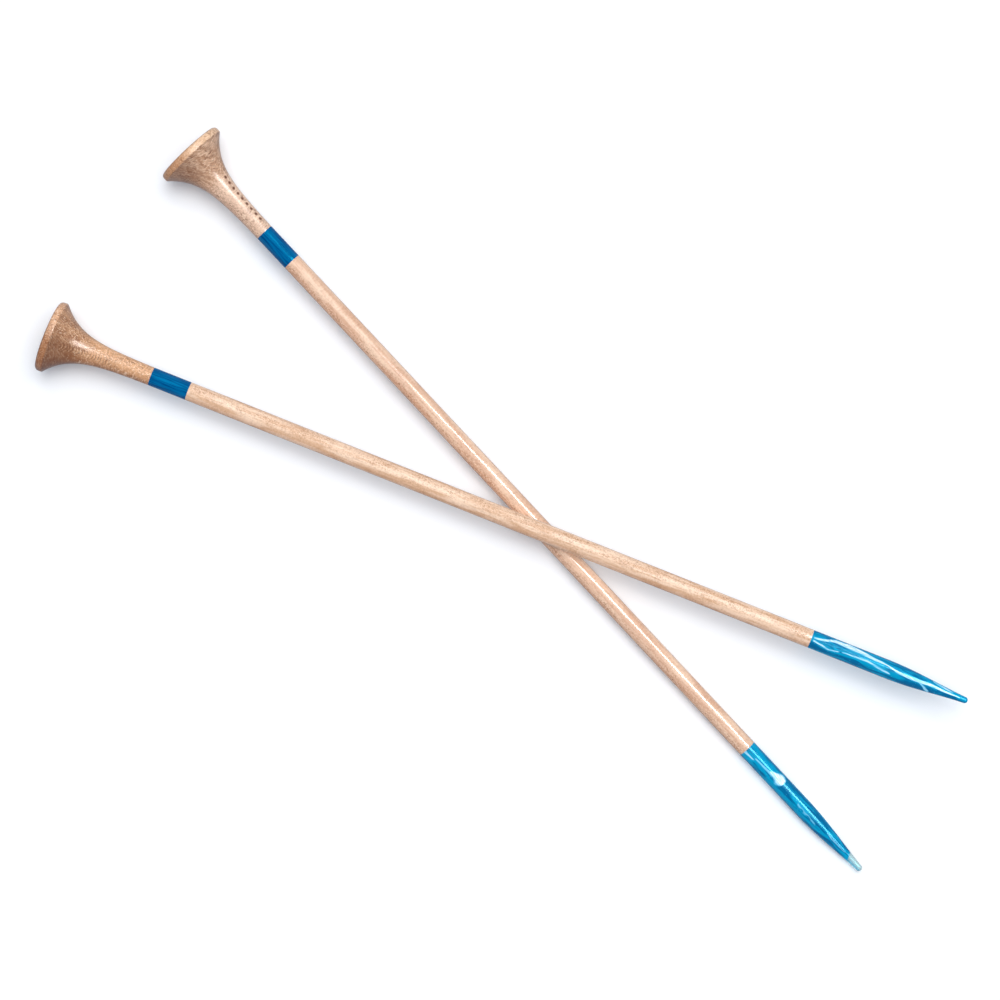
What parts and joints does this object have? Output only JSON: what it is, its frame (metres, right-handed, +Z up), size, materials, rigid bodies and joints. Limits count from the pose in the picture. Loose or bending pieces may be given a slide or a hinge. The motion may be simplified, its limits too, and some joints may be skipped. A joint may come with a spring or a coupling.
{
  "type": "straight knitting needles",
  "caption": "Crossed pair of straight knitting needles: pale wooden shafts with trumpet finials, blue bands and tapered blue marbled tips.",
  "frame": {"origin": "on the table, under the middle of the crossed pair's outline", "axes": "+X towards the tips along the line midway between the two needles, +Z up from the table"},
  "size_m": [0.3154, 0.0965, 0.0234],
  "materials": {
    "figured_maple": "ray-flecked, satin lacquer",
    "maple": "pale, polished lacquer",
    "dyed_band": "dyed blue through, lacquered",
    "marbled_resin": "blue and white swirled, polished",
    "birch": "plain, hidden"
  },
  "bodies": {
    "under_needle": {"under_finial": "figured_maple", "under_finial_dowel": "birch", "under_band": "dyed_band", "under_shaft": "maple", "under_tip_dowel": "birch", "under_tip": "marbled_resin"},
    "over_needle": {"over_finial": "figured_maple", "over_finial_dowel": "birch", "over_band": "dyed_band", "over_shaft": "maple", "over_tip_dowel": "birch", "over_tip": "marbled_resin"}
  },
  "joints": [
    {"name": "crossing_swivel", "type": "hinge", "parent": "under_needle", "child": "over_needle", "pos_m": [0.01245, 0.00042, 0.00978], "axis": [0, 0, 1], "range_deg": [-13, 64.8]}
  ]
}
